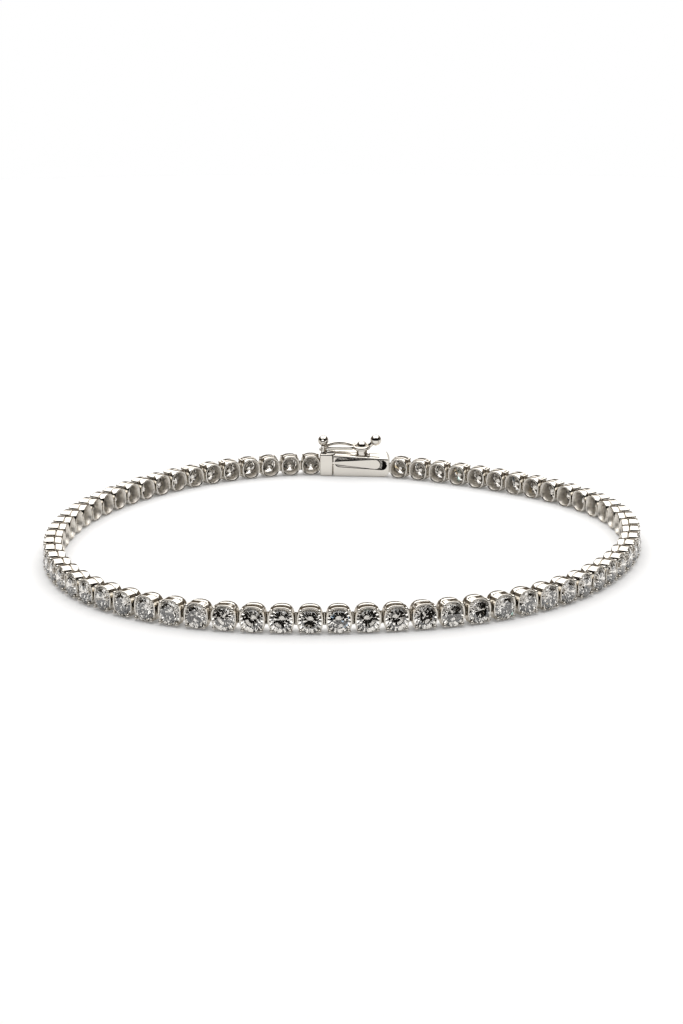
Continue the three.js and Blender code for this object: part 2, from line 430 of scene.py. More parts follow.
@dataclass(frozen=True)
class CavityShadeFill:
    """A near-black matt finish that paints the shade inside the clasp's box.

    Args:
        name: The material's name.
        dark: The darkest painted shade.
        light: The lightest painted shade.
        grain: The size of the noise that mixes the two painted shades, in millimetres.
    """

    name: str = "painted_cavity_shade"
    dark: Triple = (0.003, 0.0026, 0.002)
    light: Triple = (0.012, 0.010, 0.008)
    grain: float = 0.12

    def build(self) -> Material:
        """Makes the material.

        Returns:
            The material.
        """
        material = new_finish(self.name, {
            "Metallic": 0.0, "Specular IOR Level": 0.05, "Roughness": 0.7,
        })
        nodes, links = material.node_tree.nodes, material.node_tree.links
        # A noise mixes two near-black colours of painted shade.
        grain = grain_noise(material, self.grain)
        shade = nodes.new("ShaderNodeMix")
        shade.data_type = "RGBA"
        set_sockets(shade, {"A": self.dark, "B": self.light})
        links.new(grain.outputs["Fac"], shade.inputs["Factor"])
        links.new(shade.outputs["Result"], nodes["Principled BSDF"].inputs["Base Color"])
        return material


@dataclass(frozen=True)
class Diamond:
    """Colourless cut stone, with a tint per facet; a few facets get a colour that paints a flash of
    fire.

    Args:
        name: The material's name.
        refraction: The stone's index of refraction.
        tint_layer: The face colour layer that holds the tints, the painted flashes among them.
    """

    name: str = "diamond"
    refraction: float = 2.417
    tint_layer: str = "painted_fire"

    def build(self) -> Material:
        """Makes the material.

        Returns:
            The material.
        """
        material = new_finish(self.name, {
            "Roughness": 0.0, "IOR": self.refraction, "Transmission Weight": 1.0,
        })
        nodes, links = material.node_tree.nodes, material.node_tree.links
        # The tint layer gives a few facets a colour that paints a flash of fire.
        tint = nodes.new("ShaderNodeAttribute")
        tint.attribute_name = self.tint_layer
        links.new(tint.outputs["Color"], nodes["Principled BSDF"].inputs["Base Color"])
        return material


@dataclass(frozen=True)
class StudioPaper:
    """Plain matt paper for the floor, lit a little from beneath.

    Args:
        name: The material's name.
        brightness: The share of light that the paper sends back.
        glow: The light that comes through it from beneath.
    """

    name: str = "studio_paper"
    brightness: float = 0.80
    glow: float = 0.15

    def build(self) -> Material:
        """Makes the material.

        Returns:
            The material.
        """
        return new_finish(self.name, {
            "Base Color": (self.brightness,) * 3,
            "Roughness": 0.9,
            "Specular IOR Level": 0.1,
            "Emission Color": (1.0, 1.0, 1.0),
            "Emission Strength": self.glow,
        })


# ---- The route of the row ------------------------------------------------------------------


@dataclass(frozen=True)
class Wave:
    """One slow wave of the loop.

    Args:
        per_turn: How often it swings in a turn.
        cosine: Its even part, as a share of the radius.
        sine: Its odd part.
    """

    per_turn: int
    cosine: float
    sine: float


@dataclass
class LoopRoute:
    """The closed line through the middles of the links, level with the floor.

    Args:
        radius: The loop's mean radius.
        waves: Its slow waves.
        pitch: From one link to the next.
        front_shift: How far the front link is off the loop's nearest point.
        half_depth: From the line to the row's outer face.
        samples: How finely the line is stepped.
        points: The line's points, from the front to the right and round.
        lengths: The line's length from the front to each point.
    """

    radius: float = 27.914
    waves: tuple[Wave, ...] = (
        Wave(2, 0.0145, 0.0089),
        Wave(3, 0.0223, -0.0155),
        Wave(4, 0.0, 0.0098),
        Wave(5, 0.0, 0.0083),
    )
    pitch: float = 2.432
    front_shift: float = -0.02
    half_depth: float = 0.95
    samples: int = 2880
    points: list[Vector] = field(default_factory=list)
    lengths: list[float] = field(default_factory=list)

    def __post_init__(self) -> None:
        """Steps round the loop and lays it over the frame's chain."""
        rim = [self._rim(step, self.half_depth) for step in range(self.samples)]
        low, high = (Vector(corner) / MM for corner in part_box("chain"))
        middle = (low + high) / 2
        shift = Vector((
            middle.x - (max(p.x for p in rim) + min(p.x for p in rim)) / 2,
            middle.y - (max(p.y for p in rim) + min(p.y for p in rim)) / 2,
            0.0,
        ))
        self.points = [self._rim(step, 0.0) + shift for step in range(self.samples + 1)]
        self.lengths = [0.0]
        for start, end in zip(self.points, self.points[1:]):
            self.lengths.append(self.lengths[-1] + (end - start).length)

    def _rim(self, step: int, outward: float) -> Vector:
        """The loop's point at a step from the front, moved outwards.

        Args:
            step: The step, of all the samples.
            outward: How far the point is moved.

        Returns:
            The point, on the floor.
        """
        angle = (step / self.samples - 0.25) * 2 * math.pi
        share = 1.0
        for wave in self.waves:
            phase = wave.per_turn * angle
            share += wave.cosine * math.cos(phase) + wave.sine * math.sin(phase)
        reach = self.radius * share + outward
        return Vector((reach * math.cos(angle), reach * math.sin(angle), 0.0))

    def place(self, distance: float, height: float) -> Matrix:
        """The frame of a piece at a distance along the loop from its front.

        Args:
            distance: Along the loop, to the right positive.
            height: Of the piece's middle over the floor.

        Returns:
            A matrix with X along the row, Y outwards and Z up.
        """
        total = self.lengths[-1]
        wanted = distance % total
        low, high = 0, len(self.lengths) - 1
        while high - low > 1:
            middle = (low + high) // 2
            if self.lengths[middle] <= wanted:
                low = middle
            else:
                high = middle
        start, end = self.points[low], self.points[high]
        span = self.lengths[high] - self.lengths[low]
        here = start.lerp(end, (wanted - self.lengths[low]) / span)
        along = (end - start).normalized()
        outward = Vector((along.y, -along.x, 0.0))
        up = Vector((0.0, 0.0, 1.0))
        turn = Matrix((-along, outward, up)).transposed().to_4x4()
        return Matrix.Translation(here + up * height) @ turn


# ---- Row of settings -----------------------------------------------------------------------


@dataclass
class Brilliant:
    """A round brilliant, ground from a round blank one facet plane at a time.

    The table faces +Z and the girdle is at Z = 0. Lengths are in girdle radii.

    Args:
        radius: The girdle's radius, in millimetres.
        table: The table's corner radius.
        crown_angle: The slope of the crown's main facets, in degrees.
        pavilion_angle: The slope of the pavilion's main facets, in degrees.
        star_reach: How far the star facets run from the table to the girdle.
        lower_reach: How far the lower girdle facets run from the girdle to the point.
        girdle: The girdle's half thickness.
    """

    radius: float = 1.06
    table: float = 0.57
    crown_angle: float = 34.5
    pavilion_angle: float = 40.8
    star_reach: float = 0.5
    lower_reach: float = 0.86
    girdle: float = 0.018

    @property
    def crown_height(self) -> float:
        """From the middle of the girdle to the table."""
        return self.girdle + (1 - self.table) * math.tan(math.radians(self.crown_angle))

    @staticmethod
    def _polar(reach: float, degrees: float, height: float) -> Vector:
        """A point given by its distance from the axis, its bearing and its height."""
        bearing = math.radians(degrees)
        return Vector((reach * math.cos(bearing), reach * math.sin(bearing), height))

    def _grind(self, bm: BMesh, corners: Sequence[Vector]) -> None:
        """Cuts away what lies beyond the plane through three points, and closes the cut.

        Args:
            bm: The stone so far.
            corners: Three points of the facet.
        """
        normal = (corners[1] - corners[0]).cross(corners[2] - corners[0]).normalized()
        if normal.dot(corners[0]) < 0:
            normal.negate()
        cut = bmesh.ops.bisect_plane(
            bm,
            geom=bm.verts[:] + bm.edges[:] + bm.faces[:],
            dist=1e-5,
            plane_co=corners[0],
            plane_no=normal,
            clear_outer=True,
        )["geom_cut"]
        rim = [item for item in cut if isinstance(item, BMEdge) and item.is_boundary]
        if rim:
            bmesh.ops.holes_fill(bm, edges=rim)

    def build(self) -> BMesh:
        """Grinds the stone.

        Returns:
            The stone in millimetres.
        """
        bm = bmesh.new()
        bmesh.ops.create_cone(bm, cap_ends=True, segments=32, radius1=1, radius2=1, depth=4)
        bmesh.ops.rotate(bm, matrix=Matrix.Rotation(math.radians(5.625), 3, "Z"), verts=bm.verts)
        crown_slope = math.tan(math.radians(self.crown_angle))
        pavilion_slope = math.tan(math.radians(self.pavilion_angle))
        half = math.cos(math.radians(22.5))
        star_tip = self.table * half + self.star_reach * (1 - self.table * half)
        star_height = self.girdle + (1 - star_tip * half) * crown_slope
        lower_tip = 1 - self.lower_reach
        lower_height = -self.girdle - (1 - lower_tip * half) * pavilion_slope
        top = self._polar(0, 0, self.crown_height)
        self._grind(bm, [top, top + Vector((1, 0, 0)), top + Vector((0, 1, 0))])
        for turn in range(8):
            main = turn * 45.0
            edge = self._polar(1, main, self.girdle)
            side = self._polar(0, main + 90, 0)
            self._grind(bm, [edge, edge + side, self._polar(self.table, main, self.crown_height)])
            low = self._polar(1, main, -self.girdle)
            point = Vector((0, 0, -self.girdle - pavilion_slope))
            self._grind(bm, [low, low + side, point])
        for turn in range(8):
            main = turn * 45.0
            between = main + 22.5
            star = self._polar(star_tip, between, star_height)
            deep = self._polar(lower_tip, between, lower_height)
            self._grind(bm, [
                self._polar(self.table, main, self.crown_height),
                self._polar(self.table, main + 45, self.crown_height),
                star,
            ])
            for corner in (main, main + 45):
                self._grind(bm, [
                    star,
                    self._polar(1, corner, self.girdle),
                    self._polar(1, between, self.girdle),
                ])
                self._grind(bm, [
                    deep,
                    self._polar(1, corner, -self.girdle),
                    self._polar(1, between, -self.girdle),
                ])
        bmesh.ops.remove_doubles(bm, verts=bm.verts, dist=1e-4)
        bmesh.ops.recalc_face_normals(bm, faces=bm.faces)
        bmesh.ops.scale(bm, vec=[self.radius] * 3, verts=bm.verts)
        soften(bm, Shading.FACETED)
        return bm


@dataclass(frozen=True)
class Ring:
    """One ring of a cup's wall.

    Args:
        outward: Its place from the cup's middle outwards.
        inset: How far it is inside the cup's outline.
        squareness: Its outline's power: 2 is an oval, and more is squarer.
    """

    outward: float
    inset: float
    squareness: float


@dataclass
class Setting:
    """The cup that holds one stone, with four prongs over the girdle.

    X runs along the row, Y outwards and Z up, from the link's middle.

    Args:
        half_width: Half the cup's width along the row.
        half_height: Half its height.
        segments: The steps round the cup.
        rings: The wall's section, from the front rim over the outside and back inside.
        seat_rings: The satin lining's section.
        prong_x: How far the prong tips are from the middle along the row.
        prong_z: The same up and down.
        prong_radius: A prong's radius.
        prong_foot: How far out the prongs start.
        prong_splay: How much of the way from the middle their feet are.
        tip_swell: A tip's radius, as a share of its prong's.
        tip_outward: How far out the prong tips' middles are.
        tip_shift: How much further out the lower two are, and further in the upper two.
        girdle_outward: How far out the stone's girdle is.
    """

    half_width: float = 1.11
    half_height: float = 1.175
    segments: int = 28
    rings: tuple[Ring, ...] = (
        Ring(0.56, 0.13, 2.2),
        Ring(0.595, 0.10, 2.4),
        Ring(0.60, 0.06, 2.5),
        Ring(0.575, 0.015, 2.6),
        Ring(0.52, 0.0, 2.7),
        Ring(0.47, 0.0, 2.7),
        Ring(-0.08, 0.0, 2.7),
        Ring(-0.13, 0.0, 2.7),
        Ring(-0.19, 0.02, 2.7),
        Ring(-0.23, 0.07, 2.6),
        Ring(-0.25, 0.14, 2.5),
        Ring(-0.27, 0.07, 2.6),
        Ring(-0.31, 0.02, 2.7),
        Ring(-0.37, 0.0, 2.7),
        Ring(-0.84, 0.05, 2.6),
        Ring(-0.92, 0.075, 2.5),
        Ring(-0.95, 0.12, 2.4),
        Ring(-0.93, 0.18, 2.3),
        Ring(-0.40, 0.34, 2.0),
        Ring(0.20, 0.26, 2.0),
    )
    seat_rings: tuple[Ring, ...] = (
        Ring(-0.92, 0.20, 2.3),
        Ring(-0.86, 0.25, 2.2),
        Ring(-0.40, 0.37, 2.0),
        Ring(0.20, 0.31, 2.0),
        Ring(0.20, 0.27, 2.0),
        Ring(-0.40, 0.35, 2.0),
    )
    prong_x: float = 0.80
    prong_z: float = 0.86
    prong_radius: float = 0.155
    prong_foot: float = -0.18
    prong_splay: float = 0.98
    tip_swell: float = 1.12
    tip_outward: float = 0.69
    tip_shift: float = 0.06
    girdle_outward: float = 0.50

    def _outline(self, ring: Ring) -> list[Vector]:
        """The corners of one ring of the wall.

        Args:
            ring: The ring.

        Returns:
            The corners in order.
        """
        corners = []
        for step in range(self.segments):
            angle = (step + 0.5) * 2 * math.pi / self.segments
            wide = abs(math.cos(angle)) / (self.half_width - ring.inset)
            high = abs(math.sin(angle)) / (self.half_height - ring.inset)
            reach = (wide ** ring.squareness + high ** ring.squareness) ** (-1 / ring.squareness)
            corners.append(Vector((reach * math.cos(angle), ring.outward, reach * math.sin(angle))))
        return corners

    def _wall(self, bm: BMesh, rings: Sequence[Ring]) -> None:
        """Adds a closed wall: its rings are bridged one to the next, and the last to the first.

        Args:
            bm: The bmesh that grows.
            rings: The wall's section.
        """
        loops = []
        for ring in rings:
            corners = [bm.verts.new(corner) for corner in self._outline(ring)]
            loops.append([
                bm.edges.new((corners[i - 1], corners[i])) for i in range(len(corners))
            ])
        for loop, following in zip(loops, loops[1:] + loops[:1]):
            bmesh.ops.bridge_loops(bm, edges=loop + following)

    def _prong(self, bm: BMesh, side: int, up: int) -> None:
        """Adds one prong: a rod up the cup's corner with a rounded tip over the stone.

        Args:
            bm: The bmesh that grows.
            side: 1 at the row's right, and -1 at its left.
            up: 1 at the top, and -1 at the bottom.
        """
        splay = self.prong_splay
        foot = Vector((side * self.prong_x * splay, self.prong_foot, up * self.prong_z * splay))
        outward = self.tip_outward - up * self.tip_shift
        tip = Vector((side * self.prong_x, outward, up * self.prong_z))
        rod(bm, foot, tip, self.prong_radius, 8)
        bmesh.ops.create_uvsphere(
            bm,
            u_segments=10,
            v_segments=6,
            radius=self.prong_radius * self.tip_swell,
            matrix=Matrix.Translation(tip),
        )

    def build(self) -> BMesh:
        """Makes one setting.

        Returns:
            The setting in millimetres.
        """
        bm = bmesh.new()
        self._wall(bm, self.rings)
        for side in (-1, 1):
            for up in (-1, 1):
                self._prong(bm, side, up)
        bmesh.ops.recalc_face_normals(bm, faces=bm.faces)
        soften(bm, Shading.POLISHED)
        return bm

    def build_seat(self) -> BMesh:
        """Makes the satin lining inside one setting.

        Returns:
            The lining in millimetres.
        """
        bm = bmesh.new()
        self._wall(bm, self.seat_rings)
        bmesh.ops.recalc_face_normals(bm, faces=bm.faces)
        soften(bm, Shading.POLISHED)
        return bm


@dataclass
class Connector:
    """The upright barrel between two links, with a tab to each side at its two ends.

    Args:
        outward: The barrel's place from the row's middle line.
        radius: The barrel's radius.
        low: Its lower end, from the links' middle.
        high: Its upper end.
        tab_radius: The tabs' radius.
        tab_reach: How far a tab runs from the barrel's middle.
    """

    outward: float = -0.35
    radius: float = 0.15
    low: float = -0.62
    high: float = 0.45
    tab_radius: float = 0.12
    tab_reach: float = 0.42

    def build(self) -> BMesh:
        """Makes one connector.

        Returns:
            The connector in millimetres, centred in the gap.
        """
        bm = bmesh.new()
        bottom = Vector((0, self.outward, self.low))
        top = Vector((0, self.outward, self.high))
        rod(bm, bottom, top, self.radius, 12)
        for height in (self.low + self.tab_radius, self.high - self.tab_radius):
            middle = Vector((0, self.outward, height))
            reach = Vector((self.tab_reach, 0, 0))
            rod(bm, middle - reach, middle + reach, self.tab_radius, 8)
        bmesh.ops.recalc_face_normals(bm, faces=bm.faces)
        soften(bm, Shading.POLISHED)
        return bm


@dataclass
class ChainRow:
    """The whole row of links, in four joined pieces.

    Args:
        route: The line that the links follow.
        left: How many links are left of the front one.
        right: How many are right of it.
        height: The links' height over the floor.
        seed: Starts the draws for the stones' turns and painted flashes.
        stone_tilt: The most that a stone is off its setting's axis, in degrees.
        stone_lean: How far the stones face upwards, in degrees.
        painted_flash_share: The share of facets whose tint paints a coloured flash.
        body_tint: The tint of the clear facets.
        painted_flashes: The tints that paint the flashes of fire.
        stone: The stone in each link.
        setting: The cup round it.
        connector: What joins one link to the next.
    """

    route: LoopRoute
    left: int = 35
    right: int = 33
    height: float = 2.35
    seed: int = 11
    stone_tilt: float = 1.2
    stone_lean: float = 10.6
    painted_flash_share: float = 0.014
    body_tint: Triple = (0.88, 0.85, 0.80)
    painted_flashes: tuple[Triple, ...] = (
        (0.35, 0.62, 1.0),
        (1.0, 0.72, 0.35),
        (0.45, 0.95, 0.85),
    )
    stone: Brilliant = field(default_factory=Brilliant)
    setting: Setting = field(default_factory=Setting)
    connector: Connector = field(default_factory=Connector)

    def _places(self, first: int, shift: float = 0.0) -> list[Matrix]:
        """Where the pieces of one kind go, from the left end of the row to the right.

        Args:
            first: The number of the first link, counted from the front one.
            shift: How far along the row each piece is from its link's middle.

        Returns:
            The places.
        """
        return [
            self.route.place(
                self.route.front_shift + index * self.route.pitch + shift, self.height / 2
            )
            for index in range(first, self.right + 1)
        ]

    def _stone_places(self, draw: random.Random) -> list[Matrix]:
        """Each stone's place, turned about its axis and leant a little at random.

        Args:
            draw: The source of the turns.

        Returns:
            The places.
        """
        seat = Matrix.Translation((0, self.setting.girdle_outward, 0))
        face_out = Matrix.Rotation(math.radians(-90), 4, "X")
        places = []
        for place in self._places(-self.left):
            spin = Matrix.Rotation(draw.uniform(0, math.radians(45)), 4, "Z")
            lean = self.stone_lean + draw.uniform(-1, 1) * self.stone_tilt
            lean_x = Matrix.Rotation(math.radians(lean), 4, "X")
            lean_y = Matrix.Rotation(math.radians(draw.uniform(-1, 1) * self.stone_tilt), 4, "Y")
            places.append(place @ seat @ face_out @ lean_x @ lean_y @ spin)
        return places

    def _tint(self, mesh: bpy.types.Mesh, layer: str, draw: random.Random) -> None:
        """Gives each facet its tint: clear, or a colour that paints a flash of fire.

        Args:
            mesh: The stones' mesh.
            layer: The tint layer's name.
            draw: The source of the choice.
        """
        tints = mesh.color_attributes.new(layer, "FLOAT_COLOR", "CORNER")
        for face in mesh.polygons:
            # A few facets get a colour that paints a flash of fire.
            painted_flash = draw.random() < self.painted_flash_share
            tint = draw.choice(self.painted_flashes) if painted_flash else self.body_tint
            for corner in face.loop_indices:
                tints.data[corner].color = (*tint, 1.0)

    def build(
        self,
        metal: Material,
        satin: Material,
        gem: Material,
        layer: str,
    ) -> None:
        """Makes the row's settings, connectors and stones.

        Args:
            metal: The settings' and connectors' finish.
            satin: The finish inside the settings.
            gem: The stones' finish.
            layer: The stones' tint layer.
        """
        draw = random.Random(self.seed)
        links, gaps = self._places(-self.left), self._places(-self.left - 1, self.route.pitch / 2)
        shapes = (
            ("chain_settings", self.setting.build(), links, metal),
            ("chain_seats", self.setting.build_seat(), links, satin),
            ("chain_connectors", self.connector.build(), gaps, metal),
            ("chain_stones", self.stone.build(), self._stone_places(draw), gem),
        )
        for name, shape, places, finish in shapes:
            piece = new_object(name, repeated(shape, places))
            if finish is gem:
                self._tint(piece.data, layer, draw)
            dress(piece, finish, "bracelet")
            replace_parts(piece, "chain")


# ---- Clasp and safety latch ------------------------------------------------------------------


def swept_wire(
    bm: BMesh, path: Sequence[Vector], radius: float, closed: bool, sides: int = 12
) -> None:
    """Adds a round wire along a path to a bmesh: a circle at each point, bridged in turn.

    Args:
        bm: The bmesh that grows.
        path: The points of the wire's middle line.
        radius: The wire's radius.
        closed: Whether the last point joins the first.
        sides: The faces round the wire.
    """
    loops = []
    count = len(path)
    for index, point in enumerate(path):
        before = path[index - 1] if closed or index else point
        after = path[(index + 1) % count] if closed or index < count - 1 else point
        along = (after - before).normalized()
        side = along.cross(Vector((0, 0, 1))).normalized()
        turn = Matrix((side, along.cross(side) * -1, along)).transposed().to_4x4()
        ring = bmesh.ops.create_circle(
            bm, radius=radius, segments=sides, matrix=Matrix.Translation(point) @ turn
        )["verts"]
        loops.append(list({edge for corner in ring for edge in corner.link_edges}))
    pairs = list(zip(loops, loops[1:]))
    if closed:
        pairs.append((loops[-1], loops[0]))
    else:
        for end in (loops[0], loops[-1]):
            bmesh.ops.holes_fill(bm, edges=end)
    for loop, following in pairs:
        bmesh.ops.bridge_loops(bm, edges=loop + following)


def round_slot(start: float, end: float, height: float, steps: int = 12) -> list[Point]:
    """The outline of a level slot with round ends, in X and Z about its middle height.

    Args:
        start: Its left end.
        end: Its right end.
        height: Its height.
        steps: The steps round each end.

    Returns:
        The outline's points in order.
    """
    radius = height / 2
    right = arc((end - radius, 0.0), (radius, radius), -90, 180, steps)
    return right + arc((start + radius, 0.0), (radius, radius), 90, 180, steps)


@dataclass
class ClaspPlace:
    """Where the clasp stands: X along it, Y away from the wrist, Z up from the floor.

    Args:
        hinge_x: The latch hinge's place along the clasp.
        hinge_height: The hinge's height.
    """

    hinge_x: float = -3.6
    hinge_height: float = 3.95

    def matrix(self) -> Matrix:
        """The clasp's frame, from the frame's own hinge.

        Returns:
            A matrix with X along the clasp, Y away from the wrist and Z up.
        """
        hinge = frame["record"]["behaviour"]["joints"][0]
        outward = -Vector(hinge["axis"]).normalized()
        up = Vector((0, 0, 1))
        along = outward.cross(up)
        origin = Vector(hinge["pos_m"]) / MM - along * self.hinge_x
        origin.z = 0.0
        turn = Matrix((along, outward, up)).transposed().to_4x4()
        return Matrix.Translation(origin) @ turn


@dataclass
class ClaspBody:
    """The box with its oval slot and snap stud, and the tongue that closes it.

    Args:
        place: The clasp's frame.
        start: The tongue head's left end.
        end: The box's right end.
        mouth: The box's left end.
        head_end: The tongue head's right end.
        near: The face towards the wrist.
        far: The face away from it.
        height: The clasp's height at its left.
        end_height: The box's height at its right end.
        end_round: How far its end is rounded.
        edge: The rounding of the box's outline edges.
        near_edge: The broad rounding of its top edge towards the wrist, across and down.
        end_edge: The rounding round its right end.
        top_rise: How much higher its top is at the far side.
        head_edge: The rounding of the tongue head's edges.
        slot_height: The oval slot's height.
        slot_middle: The height of the slot's middle.
        slot_tilt: How far the slot falls to the right, in degrees.
        slot_margin: From the box's left and right ends to the slot's.
        slot_edge: The rounding of the slot's rim.
        wall: The near wall's thickness at the mouth.
        cavity_back: The far side of the cavity.
        groove_y: The middle of the groove in the top.
        groove_width: The groove's width.
        groove_depth: The groove's depth.
        groove_margin: From the box's left and right ends to the groove's.
        leaf_near: The leaf's face towards the wrist.
        leaf_thickness: The leaf's thickness.
        leaf_end: The leaf's right end.
        leaf_root: How far the leaf runs into the head.
        leaf_play: The leaf's play over and under it.
        leaf_full: Where the leaf has its full height.
        fold_height: The fold's line at its left, over the slot's middle.
        fold_rise: The height of the upper fold there.
        fold_gap: The gap between the folds there.
        fold_inset: How much deeper in the box the lower fold is.
        fold_short: How much shorter the lower fold is.
        stud_x: The snap stud's place.
        stud_radius: The radius of its ball.
        stud_height: The height of its ball's middle.
        neck_radius: The radius of its neck.
        bead_radius: The radius of the solder beads.
        box_bead: The box's bead: along, from the near face, and over the box's end.
        post_bead: The post's bead: from the post, across, and its height.
        lug: The eye's lug: half its width and its thickness.
        eye_radius: The radius of the hinge's eye.
        pin_near: The pin's end towards the wrist.
        pin_radius: The pin's radius.
        pin_head: The radius of its head.
        post: The post's place across the clasp, and its radius.
        post_top: How far its top is under the hinge.
        pad_start: The thumb pad's left end.
        pad_length: The pad's length.
        pad_radius: The pad's radius.
    """

    place: ClaspPlace
    start: float = -3.95
    end: float = 3.95
    mouth: float = -2.33
    head_end: float = -2.42
    near: float = -0.95
    far: float = 1.05
    height: float = 2.6
    end_height: float = 2.3
    end_round: float = 0.85
    edge: float = 0.18
    near_edge: Point = (0.58, 0.40)
    end_edge: float = 0.13
    top_rise: float = 0.28
    head_edge: float = 0.22
    slot_height: float = 1.15
    slot_middle: float = 1.53
    slot_tilt: float = 3.0
    slot_margin: Point = (0.1, 0.2)
    slot_edge: float = 0.05
    wall: float = 0.4
    cavity_back: float = 0.65
    groove_y: float = 0.12
    groove_width: float = 0.13
    groove_depth: float = 0.22
    groove_margin: Point = (0.5, 1.1)
    leaf_near: float = -0.86
    leaf_thickness: float = 0.2
    leaf_end: float = 2.95
    leaf_root: float = 0.4
    leaf_play: float = 0.03
    leaf_full: float = 2.0
    fold_height: float = -0.26
    fold_rise: float = 0.2
    fold_gap: float = 0.07
    fold_inset: float = 0.05
    fold_short: float = 0.8
    stud_x: float = 0.8
    stud_radius: float = 0.62
    stud_height: float = 3.36
    neck_radius: float = 0.6
    bead_radius: float = 0.2
    box_bead: Triple = (1.6, 0.2, 0.27)
    post_bead: Triple = (-0.24, -0.36, 3.0)
    lug: Point = (0.3, 0.32)
    eye_radius: float = 0.35
    pin_near: float = -0.66
    pin_radius: float = 0.19
    pin_head: float = 0.25
    post: Point = (-0.1, 0.25)
    post_top: float = 0.58
    pad_start: float = -3.3
    pad_length: float = 1.15
    pad_radius: float = 0.33

    def _tilted(self, bm: BMesh) -> BMesh:
        """Turns a shape to the slot's fall, and lifts it to the slot.

        Args:
            bm: The shape, drawn level about Z = 0.

        Returns:
            The same shape.
        """
        bmesh.ops.rotate(
            bm,
            cent=((self.mouth + self.end) / 2, 0, 0),
            matrix=Matrix.Rotation(math.radians(self.slot_tilt), 3, "Y"),
            verts=bm.verts,
        )
        bmesh.ops.translate(bm, vec=(0, 0, self.slot_middle), verts=bm.verts)
        return bm

    def _end_outline(self, clear: float = 0.5, steps: int = 10) -> list[Point]:
        """The outline that rounds the box's right end, clear of its other sides.

        Args:
            clear: How far the outline stays off those sides.
            steps: The steps of each rounding.

        Returns:
            The outline's corners in X and Z.
        """
        turn, low, top = self.end - self.end_round, -0.01, self.height + clear
        corners = (
            ((turn, low), (self.end, 0.0), (self.end, self.end_round)),
            (
                (self.end, self.end_height - self.end_round),
                (self.end, self.end_height + self.top_rise),
                (turn, self.end_height + 1.5 * self.top_rise),
            ),
        )
        outline = [(self.mouth - clear, low)]
        for first, corner, last in corners:
            for step in range(steps + 1):
                t = step / steps
                outline.append(tuple(
                    (1 - t) ** 2 * a + 2 * t * (1 - t) * b + t * t * c
                    for a, b, c in zip(first, corner, last)
                ))
        return outline + [(turn - clear, top), (self.mouth - clear, top)]

    def _section(self, steps: int = 8) -> list[Point]:
        """The box's section, with a broad rounding at the top towards the wrist.

        Args:
            steps: The steps of each rounding.

        Returns:
            The section's corners in Y and Z.
        """
        r, (wide, tall) = self.edge, self.near_edge
        return [
            *arc((self.far - r, r), (r, r), -90, 90, steps),
            *arc((self.far - r, self.height + self.top_rise - r), (r, r), 0, 90, steps),
            *arc((self.near + wide, self.height - tall), (wide, tall), 90, 90, steps),
            *arc((self.near + r, r), (r, r), 180, 90, steps),
        ]

    def _shell(self) -> Object:
        """The box before it is hollowed: a sloping bar of that section with a rounded end.

        Returns:
            The work piece.
        """
        bar = extruded_outline(self._section(), -self.end, -self.mouth)
        bmesh.ops.rotate(bar, matrix=Matrix.Rotation(math.radians(90), 3, "Z"), verts=bar.verts)
        low_end = [vert for vert in bar.verts if vert.co.x > 0]
        bmesh.ops.scale(bar, vec=(1, 1, self.end_height / self.height), verts=low_end)
        box = new_object("clasp_box_body", bar)
        end = extruded_outline(self._end_outline(), self.near - 0.5, self.far + 0.5)
        combine(box, [new_object("end_tool", end)], Cut.WITHIN)
        polish(box, self.end_edge, 4)
        return box

    def _box(self, metal: Material) -> Object:
        """The box, its slot cut through the near wall, with its stud and solder bead.

        Args:
            metal: The finish.

        Returns:
            The finished piece.
        """
        box = self._shell()
        right = self.end - self.slot_margin[1]
        slot = self._tilted(extruded_outline(
            round_slot(self.mouth + self.slot_margin[0], right, self.slot_height),
            self.near - 1,
            self.cavity_back,
        ))
        mouth = self._tilted(extruded_outline(
            round_slot(self.mouth - 1.5, right, self.slot_height),
            self.near + self.wall,
            self.cavity_back,
        ))
        start, stop = self.mouth + self.groove_margin[0], self.end - self.groove_margin[1]
        groove = extruded_outline(
            [
                (start, self.height - self.groove_depth),
                (stop, self.end_height - self.groove_depth),
                (stop, self.height + 1),
                (start, self.height + 1),
            ],
            self.groove_y - self.groove_width / 2,
            self.groove_y + self.groove_width / 2,
        )
        tools = {"slot_tool": slot, "mouth_tool": mouth, "groove_tool": groove}
        combine(box, [new_object(name, tool) for name, tool in tools.items()], Cut.AWAY)
        polish(box, self.slot_edge, 2)
        bm = bmesh.new()
        take_in(bm, box)
        stud = Vector((self.stud_x, 0, self.stud_height))
        rod(bm, Vector((self.stud_x, 0, self.height - 0.6)), stud, self.neck_radius, 20)
        ball(bm, stud, self.stud_radius)
        along, across, over = self.box_bead
        bead = Vector((along, self.near + across, self.end_height + over))
        ball(bm, bead, self.bead_radius, 16)
        return self._finished("clasp_box_piece", bm, metal)

    def _tongue(self, metal: Material) -> Object:
        """The tongue: its head, the folded leaf, and the post and pin of the latch's hinge.

        Args:
            metal: The finish.

        Returns:
            The finished piece.
        """
        block = rectangle(self.start, self.head_end, 0.0, self.height)
        head = new_object("clasp_tongue_body", extruded_outline(block, self.near, self.far))
        polish(head, self.head_edge, 4)
        bm = bmesh.new()
        take_in(bm, head)
        self._add_leaf(bm)
        self._add_post(bm)
        self._add_thumb_pad(bm)
        return self._finished("clasp_tongue_piece", bm, metal)

